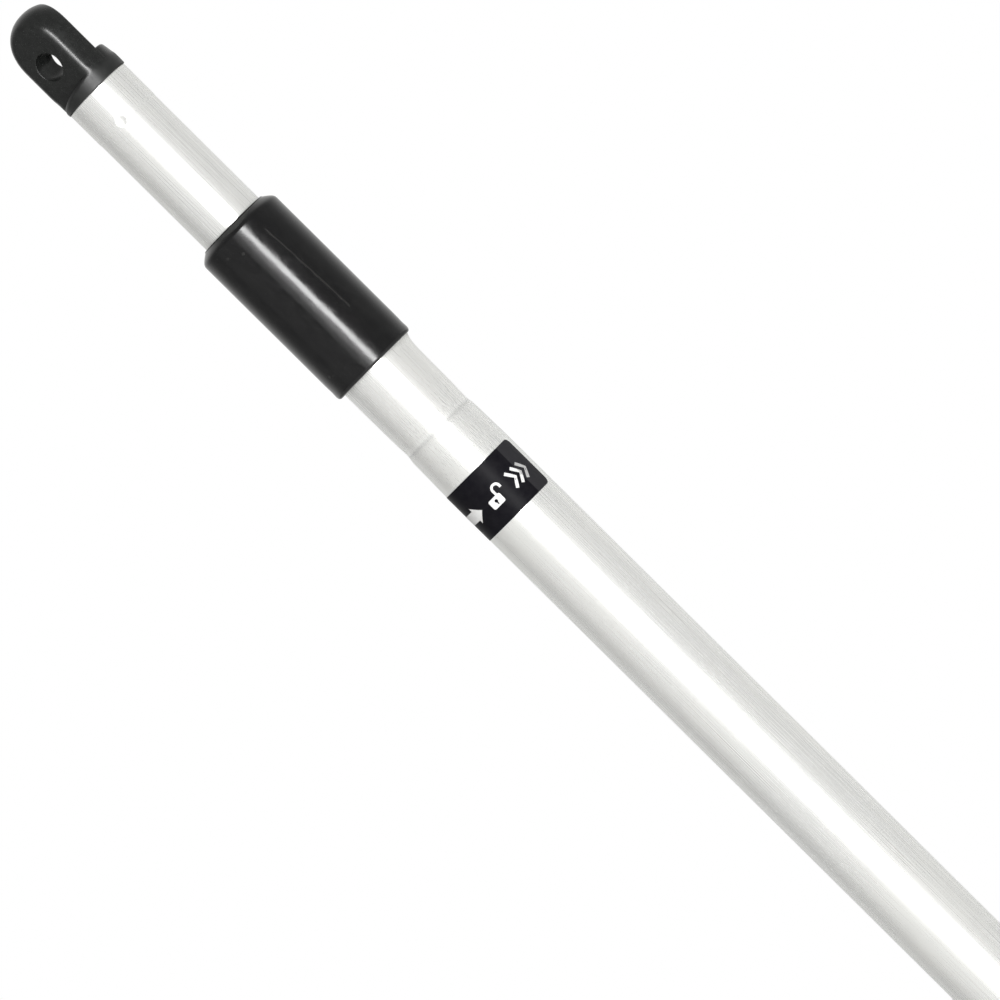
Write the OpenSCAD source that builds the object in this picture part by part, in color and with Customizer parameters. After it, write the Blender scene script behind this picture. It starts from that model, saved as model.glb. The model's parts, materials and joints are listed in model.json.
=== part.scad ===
// Telescoping roller extension pole: two thin-walled aluminium tubes with an
// internal twist lock. The pole stands along +Z with the plane that the tool's
// socket seats on at z = 0. The screw for the tool points down, the hanging
// eye is at the top. The pole is drawn pushed right in.

/* [Outer tube] */
// Length of the outer tube
outer_len = 1020; // [900:10:1400]
// Outside diameter of the outer tube
outer_d = 30; // [29.6:0.1:30.4]
// Wall of the outer tube
outer_wall = 1.2; // [1.1:0.05:1.2]
// Radius that the swaged neck is drawn down to, inside the sleeve
neck_r = 14.6; // [14.6:0.01:14.64]
// Radius at the bottom of the rolled groove
groove_r = 14.22; // [14.2:0.01:14.3]
// Distance from the sleeve's lower end down to the rolled groove
groove_drop = 29.7; // [28:0.1:34]

/* [Inner tube] */
// Outside diameter of the inner tube
inner_d = 25.4; // [25.2:0.1:25.5]
// Wall of the inner tube
inner_wall = 1; // [0.9:0.05:1.1]
// Length of inner tube left showing when the pole is closed
inner_out = 65.7; // [60:0.1:80]
// How much the end of the tube is belled over the cap, on the radius
bell = 0.15; // [0:0.05:0.2]
// Angle of the first punched stake round the tube, in degrees
stake_at = -55; // [-90:1:90]

/* [Hanging cap] */
// Height of the cap above the tube's rim
cap_h = 36.5; // [34:0.5:40]
// Radius of the cap's foot
cap_foot_r = 13.2; // [13:0.1:13.4]
// Radius of the dome
cap_dome_r = 13.5; // [13.2:0.1:13.8]
// Distance of the eye's front face from the pole's axis
eye_front = 9; // [8:0.1:10]
// Distance of the eye's back face from the pole's axis
eye_back = 0.7; // [0.5:0.1:2]
// Radius of the hanging hole
eye_hole_r = 5.4; // [4:0.1:6]
// Height of the hanging hole above the tube's rim
eye_up = 16.7; // [15.5:0.1:18]

/* [Sleeve and label] */
// Length of the vinyl sleeve
sleeve_len = 68.7; // [60:0.1:80]
// Outside radius of the vinyl sleeve
sleeve_r = 17.3; // [16.5:0.1:18]
// Height of the printed label
label_h = 21; // [15:0.1:25]
// Distance from the sleeve's lower end down to the label
label_drop = 49.6; // [48:0.1:60]
// How far the label wraps round the tube, in degrees
label_wrap = 206; // [150:1:300]
// Angle of the label's right-hand edge, in degrees
label_edge = 19; // [0:1:40]

/* [Twist lock] */
// How far the lock's stub is off the tube's axis
cam_e = 1.2; // [1:0.1:1.2]
// Radius of the cam ring
cam_r = 12.9; // [12.7:0.1:12.9]
// Outside radius of the glide ring
glide_r = 13.7; // [13.5:0.05:13.72]

/* [Tool screw] */
// Pitch of the tool's screw, five turns to the inch
screw_pitch = 5.08; // [5.08]
// Length of the tool's screw
screw_len = 25.4; // [20:0.1:30]
// Height of the collar above the tool's seat
collar_h = 12; // [10:0.5:15]

/* [Hidden] */
$fn = 96;
E = 0.01;

// heights, all from the tool's seat
z_foot = collar_h;                        // lower end of the outer tube
z_mouth = z_foot + outer_len;             // mouth of the outer tube
z_sleeve1 = z_mouth + 4.2;                // top of the sleeve
z_sleeve0 = z_sleeve1 - sleeve_len;
z_groove = z_sleeve0 - groove_drop;
z_rim = z_sleeve1 + inner_out;            // rim of the inner tube
z_top = z_rim + cap_h;                    // tip of the cap
inner_len = outer_len - 0.5;              // the two tubes are all but one length
z_end = z_rim - inner_len;                // lower end of the inner tube
z_eye = z_rim + eye_up;
z_label = z_sleeve0 - label_drop;

R = outer_d / 2;
r = inner_d / 2;
bore = r - inner_wall;                    // bore of the inner tube

// screw form
major_r = 9.4;
minor_r = 6.9;

// where the glide ring and the cam lie, from the end of the inner tube down
glide_h = 6.6;
z_glide1 = z_end - 3.2;
z_glide0 = z_glide1 - glide_h;
z_stub1 = z_glide0 - 2.7;
stub_len = 20.5;
z_stub0 = z_stub1 - stub_len;
z_washer0 = z_stub0 - 1.5;
z_head0 = z_washer0 - 3;
spigot_top = z_head0 - 0.9;

// The outside of the outer tube, from its foot to its mouth: a long straight
// barrel, then the drawn-down neck with a shallow rolled groove below it.
function outer_side() = [
    [R, z_foot], [R, z_groove - 17], [R - 0.2, z_groove - 10.6],
    [R - 0.35, z_groove - 3.4], [R - 0.6, z_groove - 1.4],
    [groove_r, z_groove - 0.2], [groove_r + 0.02, z_groove + 0.9],
    [groove_r + 0.13, z_groove + 3.4], [neck_r - 0.05, z_groove + 20],
    [neck_r, z_sleeve0 - 1], [neck_r, z_mouth]];

function shift_in(p, w) = [for (q = p) [q[0] - w, q[1]]];
function backwards(p) = [for (i = [len(p) - 1:-1:0]) p[i]];

// A quarter of a superellipse from (a, 0) to (0, b)
function dome_side(a, b, n, steps, z0) = [
    for (i = [0:steps]) let (t = 90 * i / steps)
        [a * pow(cos(t), 2 / n), z0 + b * pow(sin(t), 2 / n)]];

// --- hanging cap -----------------------------------------------------------

// The outline of the whole dome before the faces are cut
module cap_dome() {
    side = dome_side(cap_dome_r, 16, 2.2, 20, z_top - 16);
    rotate_extrude()
        polygon(concat([[0, z_rim], [cap_foot_r, z_rim],
                        [cap_foot_r + 0.05, z_rim + 3], [cap_dome_r, z_rim + 9]],
                       [for (i = [0:len(side) - 2]) side[i]],
                       [[0, z_top]]));
}

// The round foot that shows behind the eye, with a soft shoulder
module cap_foot() {
    rotate_extrude()
        polygon([[0, z_rim], [cap_foot_r, z_rim], [cap_foot_r, z_rim + 3.3],
                 [cap_foot_r - 0.1, z_rim + 5.4], [cap_foot_r - 0.4, z_rim + 7.4],
                 [cap_foot_r - 0.65, z_rim + 8.9], [cap_foot_r - 1.1, z_rim + 9.9],
                 [cap_foot_r - 1.6, z_rim + 10.2], [0, z_rim + 10.2]]);
}

// The low toe in front of the eye, whose upper edge slants down to one side
module cap_toe() {
    intersection() {
        translate([0, 0, z_rim - 1]) cylinder(r = cap_foot_r, h = 12);
        translate([0, 0, z_rim + 4.6]) rotate([0, -10, 0])
            translate([-30, -30, -20]) cube([60, 60, 20]);
    }
}

// What is cut away in front of the eye
module eye_front_cut() {
    difference() {
        translate([-20, -eye_front - 20, z_rim + 0.2])
            cube([40, 20, cap_h + 5]);
        cap_toe();
    }
}

// What is cut away behind the eye: it runs out before the tip of the dome
module eye_back_cut() {
    difference() {
        translate([-20, 0, 0]) rotate([90, 0, 90]) linear_extrude(40)
            polygon([[eye_back, z_rim + 2], [eye_back, z_top - 13.5],
                     [1.5, z_top - 9.8], [2.1, z_top - 7.6], [2.8, z_top - 5.7],
                     [3.5, z_top - 4.1], [4.6, z_top - 2.4], [6.6, z_top - 0.6],
                     [9, z_top + 1], [20, z_top + 1], [20, z_rim + 2]]);
        cap_foot();
    }
}

module hang_cap() {
    color([0.07, 0.07, 0.075])
    difference() {
        union() {
            difference() {
                cap_dome();
                eye_front_cut();
                eye_back_cut();
            }
            // spigot that fills the end of the tube
            translate([0, 0, z_rim - 24]) cylinder(r = bore - 0.06, h = 24 + E);
            translate([0, 0, z_rim - 13.9]) cylinder(r = bore + bell - 0.06, h = 13.9 + E);
        }
        // the eye
        translate([0, 5, z_eye]) rotate([90, 0, 0]) cylinder(r = eye_hole_r, h = 20);
        // the spigot is moulded hollow
        translate([0, 0, z_rim - 25]) cylinder(r = bore - 2.2, h = 25 + 3);
        // the stakes press into two hollows in the spigot
        stakes() sphere(r = 3.2);
    }
}

// Places a thing at each punched stake, on the centre the punch swings about
module stakes() {
    for (a = [stake_at, stake_at + 180])
        rotate([0, 0, a]) translate([r + bell + 1.25, 0, z_rim - 14.1]) children();
}

// --- inner tube ------------------------------------------------------------

module inner_tube() {
    color([0.8, 0.8, 0.79])
    difference() {
        union() {
            difference() {
                rotate_extrude() polygon([
                    [r, z_end], [r, z_rim - 15.5], [r + bell, z_rim - 14.2],
                    [r + bell, z_rim - 0.35], [r + bell - 0.3, z_rim],
                    [bore + bell, z_rim], [bore + bell, z_rim - 14.2],
                    [bore, z_rim - 15.5], [bore, z_end]]);
                // two holes for the pin that holds the lock's plug
                translate([0, 0, z_end + 12]) rotate([0, 90, 0])
                    cylinder(r = 1.55, h = 40, center = true);
            }
            // metal pushed in by each stake
            intersection() {
                stakes() sphere(r = 3.1);
                translate([0, 0, z_rim - 20])
                    cylinder(r = bore + bell + 0.3, h = 19);
            }
        }
        stakes() sphere(r = 2.1);
    }
}

// --- grip sleeve -----------------------------------------------------------

module grip_sleeve() {
    mouth_r = r + 0.45;
    color([0.05, 0.05, 0.055])
    rotate_extrude() polygon([
        [neck_r + 0.02, z_sleeve0], [sleeve_r - 0.8, z_sleeve0],
        [sleeve_r - 0.25, z_sleeve0 + 0.25], [sleeve_r, z_sleeve0 + 0.8],
        [sleeve_r, z_sleeve1 - 3.7], [sleeve_r - 0.17, z_sleeve1 - 3.1],
        [sleeve_r - 0.5, z_sleeve1 - 2.55], [sleeve_r - 1, z_sleeve1 - 2.05],
        [mouth_r + 0.8, z_sleeve1 - 0.25], [mouth_r + 0.35, z_sleeve1],
        [mouth_r, z_sleeve1 - 0.3], [mouth_r, z_mouth + 1.25],
        [neck_r + 0.02, z_mouth + 1.25]]);
}

// --- outer tube and what is on it ------------------------------------------

module outer_tube() {
    side = outer_side();
    color([0.8, 0.8, 0.79])
    difference() {
        rotate_extrude() polygon(concat(side, backwards(shift_in(side, outer_wall))));
        rivet_places() rotate([0, 90, 0]) cylinder(r = 1.65, h = 30, center = true);
    }
}

// A thin split liner in the mouth that the inner tube runs in
module guide_bush() {
    run_r = r + 0.1;
    fit_r = neck_r - outer_wall - 0.02;
    color([0.85, 0.85, 0.82])
    difference() {
        rotate_extrude() polygon([
            [run_r, z_mouth - 32], [fit_r - 0.3, z_mouth - 32],
            [fit_r, z_mouth - 31], [fit_r, z_mouth + 0.01],
            [neck_r - 0.1, z_mouth + 0.01], [neck_r - 0.1, z_mouth + 1.2],
            [run_r, z_mouth + 1.2]]);
        translate([r - 2, -0.6, z_mouth - 33]) cube([4, 1.2, 28]);
    }
}

module label() {
    color([0.06, 0.06, 0.07])
    rotate([0, 0, label_edge - label_wrap])
        rotate_extrude(angle = label_wrap)
            translate([R + 0.01, z_label - label_h]) square([0.2, label_h]);
}

// --- twist lock ------------------------------------------------------------

// Split ring that centres the lock in the bore and stops it at the neck
module glide_ring() {
    color([0.86, 0.86, 0.84])
    difference() {
        rotate_extrude() polygon([
            [10.1, z_glide0 + 0.1], [glide_r - 0.5, z_glide0 + 0.1],
            [glide_r, z_glide0 + 0.6], [glide_r, z_glide1 - 0.6],
            [glide_r - 0.5, z_glide1 - 0.1], [10.1, z_glide1 - 0.1]]);
        // slanting gap
        translate([0, 11.5, (z_glide0 + z_glide1) / 2]) rotate([0, 20, 0])
            cube([1.4, 8, 20], center = true);
    }
}

// Plug pinned into the end of the inner tube, with the eccentric stub
module cam_plug() {
    color([0.75, 0.12, 0.1])
    difference() {
        union() {
            translate([0, 0, z_end - E]) cylinder(r = bore - 0.08, h = 30);
            translate([0, 0, z_glide1]) cylinder(r = r + 0.1, h = z_end - z_glide1);
            translate([0, 0, z_glide0 - E]) cylinder(r = 10, h = glide_h + 2 * E);
            translate([0, 0, z_stub1]) cylinder(r = r + 0.1, h = z_glide0 - z_stub1);
            translate([cam_e, 0, z_stub0]) cylinder(r = 7, h = stub_len + E);
        }
        // pilot for the screw
        translate([cam_e, 0, z_stub0 - 1]) cylinder(r = 2, h = 18);
        // moulded hollow
        translate([0, 0, z_end + 18]) cylinder(r = bore - 2.4, h = 20);
        // hole for the pin
        translate([0, 0, z_end + 12]) rotate([0, 90, 0])
            cylinder(r = 1.55, h = 40, center = true);
    }
    // the pin, cut flush with the tube
    color([0.7, 0.7, 0.7])
    translate([0, 0, z_end + 12]) rotate([0, 90, 0])
        cylinder(r = 1.5, h = 2 * r - 0.2, center = true);
}

// Split ring that is off centre on the stub, so a turn wedges it in the bore
module cam_ring() {
    color([0.9, 0.88, 0.8])
    difference() {
        translate([0, 0, z_stub0 + 0.3]) cylinder(r = cam_r, h = stub_len - 0.6);
        translate([cam_e, 0, z_stub0 - 1]) cylinder(r = 7.15, h = stub_len + 2);
        translate([7, -0.9, z_stub0 - 1]) cube([10, 1.8, stub_len + 2]);
        // shallow grooves that grip the bore
        for (k = [1:4])
            translate([0, 0, z_stub0 + k * stub_len / 5]) rotate_extrude()
                translate([cam_r - 0.35, -0.4]) square([1, 0.8]);
    }
}

module cam_washer() {
    color("silver")
    translate([cam_e, 0, z_washer0]) difference() {
        cylinder(r = 9.6, h = 1.5);
        translate([0, 0, -1]) cylinder(r = 2.1, h = 4);
    }
}

module cam_screw() {
    color("silver")
    translate([cam_e, 0, 0]) difference() {
        union() {
            rotate_extrude() polygon([
                [0, z_head0], [2.4, z_head0], [3.5, z_head0 + 0.6],
                [4, z_head0 + 1.6], [4, z_washer0], [0, z_washer0]]);
            translate([0, 0, z_washer0 - E]) cylinder(r = 1.95, h = 17);
        }
        // cross recess
        for (a = [0, 90]) rotate([0, 0, a])
            translate([-1.7, -0.35, z_head0 - 1]) cube([3.4, 0.7, 2.6]);
    }
}

// --- tool end --------------------------------------------------------------

// The screw's outer surface, wound up from rows that follow the helix: a root
// and a crest for each turn, tapered at the nose and run out under the collar
module screw_form(r0, r1, pitch, length) {
    n = 30;
    rows = 29;
    z0 = -length - 6;
    flank = 0.18 * pitch;
    lift = [0, flank, 3 * flank, 4 * flank];
    function lim(v) = max(0, min(1, v));
    function root(z) = r0 - 1.4 * lim((2 - length - z) / 2);
    function rise(z) = (r1 - r0) * lim((z + length) / 3 + 0.1) * lim((-2.2 - z) / 1.6);
    function pt(i, j) = let (a = 360 * i / n,
        z = z0 + pitch * (i / n + floor(j / 4)) + lift[j % 4],
        q = root(z) + rise(z) * (j % 4 == 1 || j % 4 == 2 ? 1 : 0))
        [q * cos(a), q * sin(a), z];
    function id(i, j) = i == n ? j + 4 : i * (rows + 4) + j;
    pts = concat([for (i = [0:n - 1], j = [0:rows + 3]) pt(i, j)],
                 [[0, 0, z0], [0, 0, z0 + pitch * rows / 4]]);
    low = n * (rows + 4);
    high = low + 1;
    faces = concat(
        [for (i = [0:n - 1], j = [0:rows - 2]) [id(i, j), id(i, j + 1), id(i + 1, j + 1)]],
        [for (i = [0:n - 1], j = [0:rows - 2]) [id(i, j), id(i + 1, j + 1), id(i + 1, j)]],
        [for (i = [0:n - 1]) [low, id(i, 0), id(i + 1, 0)]],
        [for (j = [0:3]) [low, id(0, j + 1), id(0, j)]],
        [for (i = [0:n - 1]) [high, id(i + 1, rows - 1), id(i, rows - 1)]],
        [for (j = [rows - 1:rows + 2]) [high, id(0, j), id(0, j + 1)]]);
    intersection() {
        polyhedron(points = pts, faces = faces, convexity = 10);
        translate([-20, -20, -length]) cube([40, 40, length + 1.5]);
    }
}

module threaded_tip() {
    fit_r = R - outer_wall - 0.05;
    color([0.07, 0.07, 0.075])
    difference() {
        union() {
            // collar and spigot
            rotate_extrude() polygon([
                [0, 1], [10, 1], [10, 0], [R - 1.5, 0], [R, 1.5], [R, z_foot], [fit_r, z_foot],
                [fit_r, spigot_top - 1.2], [fit_r - 1.2, spigot_top],
                [9.3, spigot_top], [9.3, z_foot + 3], [8.3, z_foot + 2],
                [0, z_foot + 2]]);
            screw_form(minor_r, major_r, screw_pitch, screw_len);
        }
        rivet_places() rotate([0, 90, 0]) cylinder(r = 1.65, h = 30, center = true);
    }
}

// Where the rivets cross the wall, one on each side
module rivet_places() {
    for (a = [0, 180]) rotate([0, 0, a]) translate([R, 0, z_foot + 14]) children();
}

module tip_rivets() {
    color("silver")
    rivet_places() rotate([0, 90, 0]) rotate_extrude() polygon([
        [0, -7.5], [2.1, -7.5], [2.3, -7.2], [2.3, -6.15], [1.6, -6.1],
        [1.6, 0.02], [3.1, 0.02], [3.1, 0.3], [2.5, 0.75], [1.5, 1.05], [0, 1.15]]);
}

hang_cap();
inner_tube();
grip_sleeve();
guide_bush();
outer_tube();
label();
glide_ring();
cam_plug();
cam_ring();
cam_washer();
cam_screw();
threaded_tip();
tip_rivets();
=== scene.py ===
import json
import math

import bpy
import numpy as np
from mathutils import Matrix, Vector
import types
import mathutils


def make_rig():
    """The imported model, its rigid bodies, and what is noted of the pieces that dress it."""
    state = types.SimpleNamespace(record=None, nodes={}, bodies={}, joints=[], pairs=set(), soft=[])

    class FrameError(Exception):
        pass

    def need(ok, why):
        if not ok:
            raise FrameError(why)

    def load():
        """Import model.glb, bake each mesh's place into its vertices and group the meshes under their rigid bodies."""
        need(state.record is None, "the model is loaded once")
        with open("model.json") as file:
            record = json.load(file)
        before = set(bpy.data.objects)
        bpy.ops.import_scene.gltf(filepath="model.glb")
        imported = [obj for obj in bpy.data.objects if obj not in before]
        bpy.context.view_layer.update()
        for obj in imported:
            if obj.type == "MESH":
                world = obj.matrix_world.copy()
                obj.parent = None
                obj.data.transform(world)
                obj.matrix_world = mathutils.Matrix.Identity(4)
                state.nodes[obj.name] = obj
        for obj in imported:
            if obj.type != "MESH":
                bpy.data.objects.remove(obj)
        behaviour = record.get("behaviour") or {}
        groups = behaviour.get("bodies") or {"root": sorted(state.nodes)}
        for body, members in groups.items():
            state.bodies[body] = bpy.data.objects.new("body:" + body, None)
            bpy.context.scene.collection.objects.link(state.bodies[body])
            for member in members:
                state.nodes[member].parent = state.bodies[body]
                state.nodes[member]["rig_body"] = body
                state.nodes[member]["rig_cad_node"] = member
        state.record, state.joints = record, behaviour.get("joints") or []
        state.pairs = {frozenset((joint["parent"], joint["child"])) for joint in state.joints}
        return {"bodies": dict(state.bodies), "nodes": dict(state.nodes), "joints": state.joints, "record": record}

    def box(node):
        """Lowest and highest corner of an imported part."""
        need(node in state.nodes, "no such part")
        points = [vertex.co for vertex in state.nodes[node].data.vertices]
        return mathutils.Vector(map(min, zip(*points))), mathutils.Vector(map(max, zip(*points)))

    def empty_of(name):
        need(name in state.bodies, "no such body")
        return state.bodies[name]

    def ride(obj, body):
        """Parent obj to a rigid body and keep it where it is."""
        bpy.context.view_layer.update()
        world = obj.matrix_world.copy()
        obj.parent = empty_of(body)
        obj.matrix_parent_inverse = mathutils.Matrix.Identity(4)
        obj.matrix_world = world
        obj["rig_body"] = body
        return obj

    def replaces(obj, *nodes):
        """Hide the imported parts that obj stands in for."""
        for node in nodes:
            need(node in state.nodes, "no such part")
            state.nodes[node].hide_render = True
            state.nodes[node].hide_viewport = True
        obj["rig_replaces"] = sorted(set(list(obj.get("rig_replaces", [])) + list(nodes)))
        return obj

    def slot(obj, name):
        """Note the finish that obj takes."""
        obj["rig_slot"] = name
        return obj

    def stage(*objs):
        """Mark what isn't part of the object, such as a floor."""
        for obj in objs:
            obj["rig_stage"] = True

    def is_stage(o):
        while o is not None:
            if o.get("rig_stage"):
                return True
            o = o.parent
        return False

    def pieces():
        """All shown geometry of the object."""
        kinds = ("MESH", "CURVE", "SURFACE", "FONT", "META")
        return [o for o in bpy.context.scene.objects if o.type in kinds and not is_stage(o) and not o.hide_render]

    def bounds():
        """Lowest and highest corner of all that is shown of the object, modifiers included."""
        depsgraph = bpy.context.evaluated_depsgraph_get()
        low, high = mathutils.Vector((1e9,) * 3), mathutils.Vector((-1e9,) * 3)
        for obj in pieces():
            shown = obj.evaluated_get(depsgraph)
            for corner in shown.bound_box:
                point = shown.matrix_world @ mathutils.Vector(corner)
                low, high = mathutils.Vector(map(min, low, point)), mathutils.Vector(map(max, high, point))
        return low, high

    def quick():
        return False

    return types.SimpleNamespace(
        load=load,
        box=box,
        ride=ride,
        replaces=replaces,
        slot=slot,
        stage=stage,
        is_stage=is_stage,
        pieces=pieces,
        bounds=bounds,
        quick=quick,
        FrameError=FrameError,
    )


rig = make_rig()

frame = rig.load()
cad_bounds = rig.bounds()

MM = 0.001
RNG = np.random.default_rng(7)

# heights from the CAD nodes, in millimetres
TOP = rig.box("hang_cap")[1].z / MM
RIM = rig.box("inner_tube")[1].z / MM
TUBE_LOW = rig.box("inner_tube")[0].z / MM
SLEEVE_LOW, SLEEVE_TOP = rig.box("grip_sleeve")[0].z / MM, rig.box("grip_sleeve")[1].z / MM
FOOT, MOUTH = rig.box("outer_tube")[0].z / MM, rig.box("outer_tube")[1].z / MM
LABEL_LOW, LABEL_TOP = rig.box("label")[0].z / MM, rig.box("label")[1].z / MM
TIP_LOW, SPIGOT_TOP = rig.box("threaded_tip")[0].z / MM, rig.box("threaded_tip")[1].z / MM
R_OUT, R_IN = 15.0, 12.7
GROOVE = SLEEVE_LOW - 29.7


# ---------------------------------------------------------------- mesh tools

def make_mesh(name, verts_mm, faces, sharp=None, normals=None):
    """A mesh object from millimetre points and an array or list of faces."""
    me = bpy.data.meshes.new(name)
    verts = np.asarray(verts_mm, float) * MM
    if isinstance(faces, np.ndarray):
        n, k = faces.shape
        me.vertices.add(len(verts))
        me.vertices.foreach_set("co", verts.astype(np.float32).ravel())
        me.loops.add(n * k)
        me.loops.foreach_set("vertex_index", faces.astype(np.int32).ravel())
        me.polygons.add(n)
        me.polygons.foreach_set("loop_start", np.arange(0, n * k, k, dtype=np.int32))
        me.update(calc_edges=True)
    else:
        me.from_pydata([tuple(v) for v in verts], [], [tuple(f) for f in faces])
    me.validate()
    me.update()
    me.polygons.foreach_set("use_smooth", np.ones(len(me.polygons), bool))
    if sharp is not None:
        me.set_sharp_from_angle(angle=math.radians(sharp))
    if normals is not None:
        me.normals_split_custom_set_from_vertices([tuple(v) for v in normals])
    ob = bpy.data.objects.new(name, me)
    bpy.context.scene.collection.objects.link(ob)
    return ob


def revolve(name, loop, seg=256, sharp=28, shape=None):
    """A closed (r, z) loop, anticlockwise in the r-z plane, swept round the axis.
    shape(theta, r, z) may move the points."""
    loop = np.asarray(loop, float)
    n = len(loop)
    th = np.linspace(0, 2 * math.pi, seg, endpoint=False)
    r = np.repeat(loop[None, :, 0], seg, 0)
    z = np.repeat(loop[None, :, 1], seg, 0)
    t = np.repeat(th[:, None], n, 1)
    if shape is not None:
        r, z = shape(t, r, z)
    v = np.stack([r * np.cos(t), r * np.sin(t), z], -1).reshape(-1, 3)
    i = np.arange(seg)[:, None]
    j = np.arange(n)[None, :]
    i2, j2 = (i + 1) % seg, (j + 1) % n
    f = np.stack([i * n + j, i2 * n + j, i2 * n + j2, i * n + j2], -1).reshape(-1, 4)
    return make_mesh(name, v, f, sharp)


def arc(cx, cz, r, a0, a1, n=8):
    """Points of an arc in the r-z plane, in degrees."""
    return [(cx + r * math.cos(math.radians(a)), cz + r * math.sin(math.radians(a)))
            for a in np.linspace(a0, a1, n)]


def surface_nets(f, lo, hi, h, rounds=4):
    """A closed quad mesh of f(x, y, z) = 0, with its points drawn onto the surface and
    the surface's own normals. f is negative inside, in millimetres."""
    lo, hi = np.asarray(lo, float), np.asarray(hi, float)
    n = np.ceil((hi - lo) / h).astype(int) + 1
    ax = [lo[k] + h * np.arange(n[k]) for k in range(3)]
    g = np.empty(tuple(n), np.float32)
    for k, z in enumerate(ax[2]):
        X, Y = np.meshgrid(ax[0], ax[1], indexing="ij")
        g[:, :, k] = f(X, Y, np.full_like(X, z))
    s = g < 0
    corners = [(a, b, c) for a in (0, 1) for b in (0, 1) for c in (0, 1)]
    cut = [slice(0, -1), slice(1, None)]

    def view(arr, c):
        return arr[cut[c[0]], cut[c[1]], cut[c[2]]]

    count = sum(view(s, c).astype(np.int8) for c in corners)
    active = (count > 0) & (count < 8)
    idx = np.full(active.shape, -1, np.int64)
    cells = np.argwhere(active)
    idx[active] = np.arange(len(cells))
    vals = {c: view(g, c)[active].astype(float) for c in corners}
    acc, num = np.zeros((len(cells), 3)), np.zeros(len(cells))
    for a in corners:
        for k in range(3):
            if a[k]:
                continue
            b = list(a)
            b[k] = 1
            b = tuple(b)
            va, vb = vals[a], vals[b]
            hit = (va < 0) != (vb < 0)
            t = np.where(hit, va / np.where(hit, va - vb, 1), 0)
            p = np.tile(np.array(a, float), (len(cells), 1))
            p[:, k] = t
            acc[hit] += p[hit]
            num[hit] += 1
    v = lo + h * (cells + acc / num[:, None])
    quads = []
    for k in range(3):
        o = [m for m in range(3) if m != k]
        a = [slice(None)] * 3
        b = [slice(None)] * 3
        a[k], b[k] = slice(0, -1), slice(1, None)
        sa, sb = s[tuple(a)], s[tuple(b)]
        flip = sa != sb
        inner = [slice(None)] * 3
        for m in o:
            inner[m] = slice(1, -1)
        base = np.zeros_like(flip)
        base[tuple(inner)] = flip[tuple(inner)]
        e = np.argwhere(base)
        d1, d2 = np.zeros(3, int), np.zeros(3, int)
        d1[o[0]], d2[o[1]] = 1, 1
        q = np.stack([idx[tuple((e - d1 - d2).T)], idx[tuple((e - d2).T)],
                      idx[tuple(e.T)], idx[tuple((e - d1).T)]], 1)
        out = sa[base]
        if k == 1:
            out = ~out
        q[~out] = q[~out][:, ::-1]
        quads.append(q)
    q = np.concatenate(quads)
    eps = 1e-3

    def grad(p):
        x, y, z = p.T
        gx = f(x + eps, y, z) - f(x - eps, y, z)
        gy = f(x, y + eps, z) - f(x, y - eps, z)
        gz = f(x, y, z + eps) - f(x, y, z - eps)
        return np.stack([gx, gy, gz], 1) / (2 * eps)

    for _ in range(rounds):
        d = f(*v.T)
        gr = grad(v)
        g2 = np.maximum((gr ** 2).sum(1), 0.05)
        step = gr * (d / g2)[:, None]
        ln = np.linalg.norm(step, axis=1)
        step *= np.minimum(1, 0.4 * h / np.maximum(ln, 1e-9))[:, None]
        v = v - step
    gr = grad(v)
    nrm = gr / np.maximum(np.linalg.norm(gr, axis=1), 1e-9)[:, None]
    return v, q, nrm


def cut_round(a, b, r):
    """Where both are inside, with the edge between them rounded."""
    return np.minimum(-r, np.maximum(a, b)) + np.hypot(np.maximum(r + a, 0), np.maximum(r + b, 0))


def cut_fillet(a, b, r, c):
    """As cut_round, with a true arc where the two surfaces meet at an angle whose cosine is c."""
    u, w = a + r, b + r
    c = np.clip(c, -0.5, 0.985)
    inside = (u - w * c > 0) & (w - u * c > 0) & (np.maximum(u, w) > 0)
    d = np.sqrt(np.maximum(u * u + w * w - 2 * u * w * c, 0) / (1 - c * c)) - r
    return np.where(inside, d, np.maximum(a, b))


def join_round(a, b, r):
    """Where either is inside, with the corner between them filled."""
    return np.maximum(r, np.minimum(a, b)) - np.hypot(np.maximum(r - a, 0), np.maximum(r - b, 0))


# ---------------------------------------------------------------- node tools

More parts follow.
